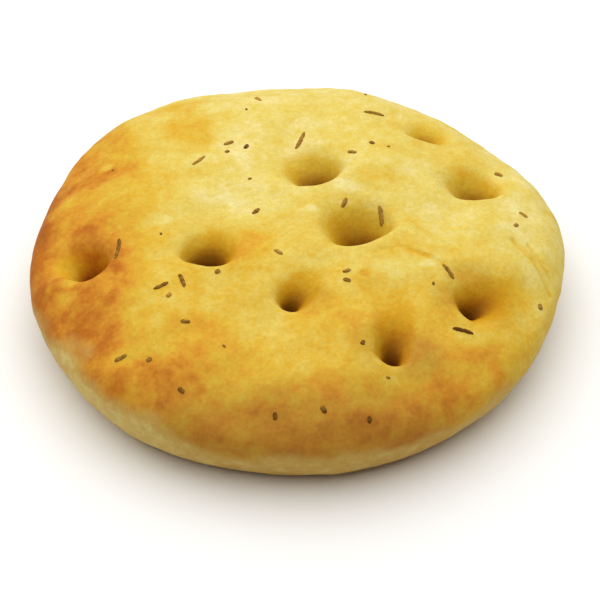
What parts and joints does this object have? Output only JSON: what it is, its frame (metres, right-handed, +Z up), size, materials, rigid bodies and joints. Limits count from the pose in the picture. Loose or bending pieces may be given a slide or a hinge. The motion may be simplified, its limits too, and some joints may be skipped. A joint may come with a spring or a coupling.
{
  "type": "focaccia roll",
  "caption": "Low round focaccia roll with a domed golden crust, fingertip dimples, chopped rosemary on top and a flat base.",
  "frame": {"origin": "on the surface the roll rests on, under the middle of its outline", "axes": "+Z up through the crown; the front of the roll, with the funnel-shaped dimples, faces -Y; +X to the right seen from the front"},
  "size_m": [0.1192, 0.1191, 0.0276],
  "materials": {
    "crust": "golden baked crust, satin, browner at the rim and in the dimples, pale round the lower side",
    "rosemary": "dried chopped rosemary, roasted to an olive brown, matt"
  },
  "bodies": {
    "root": {"focaccia_roll": "crust"}
  },
  "joints": []
}
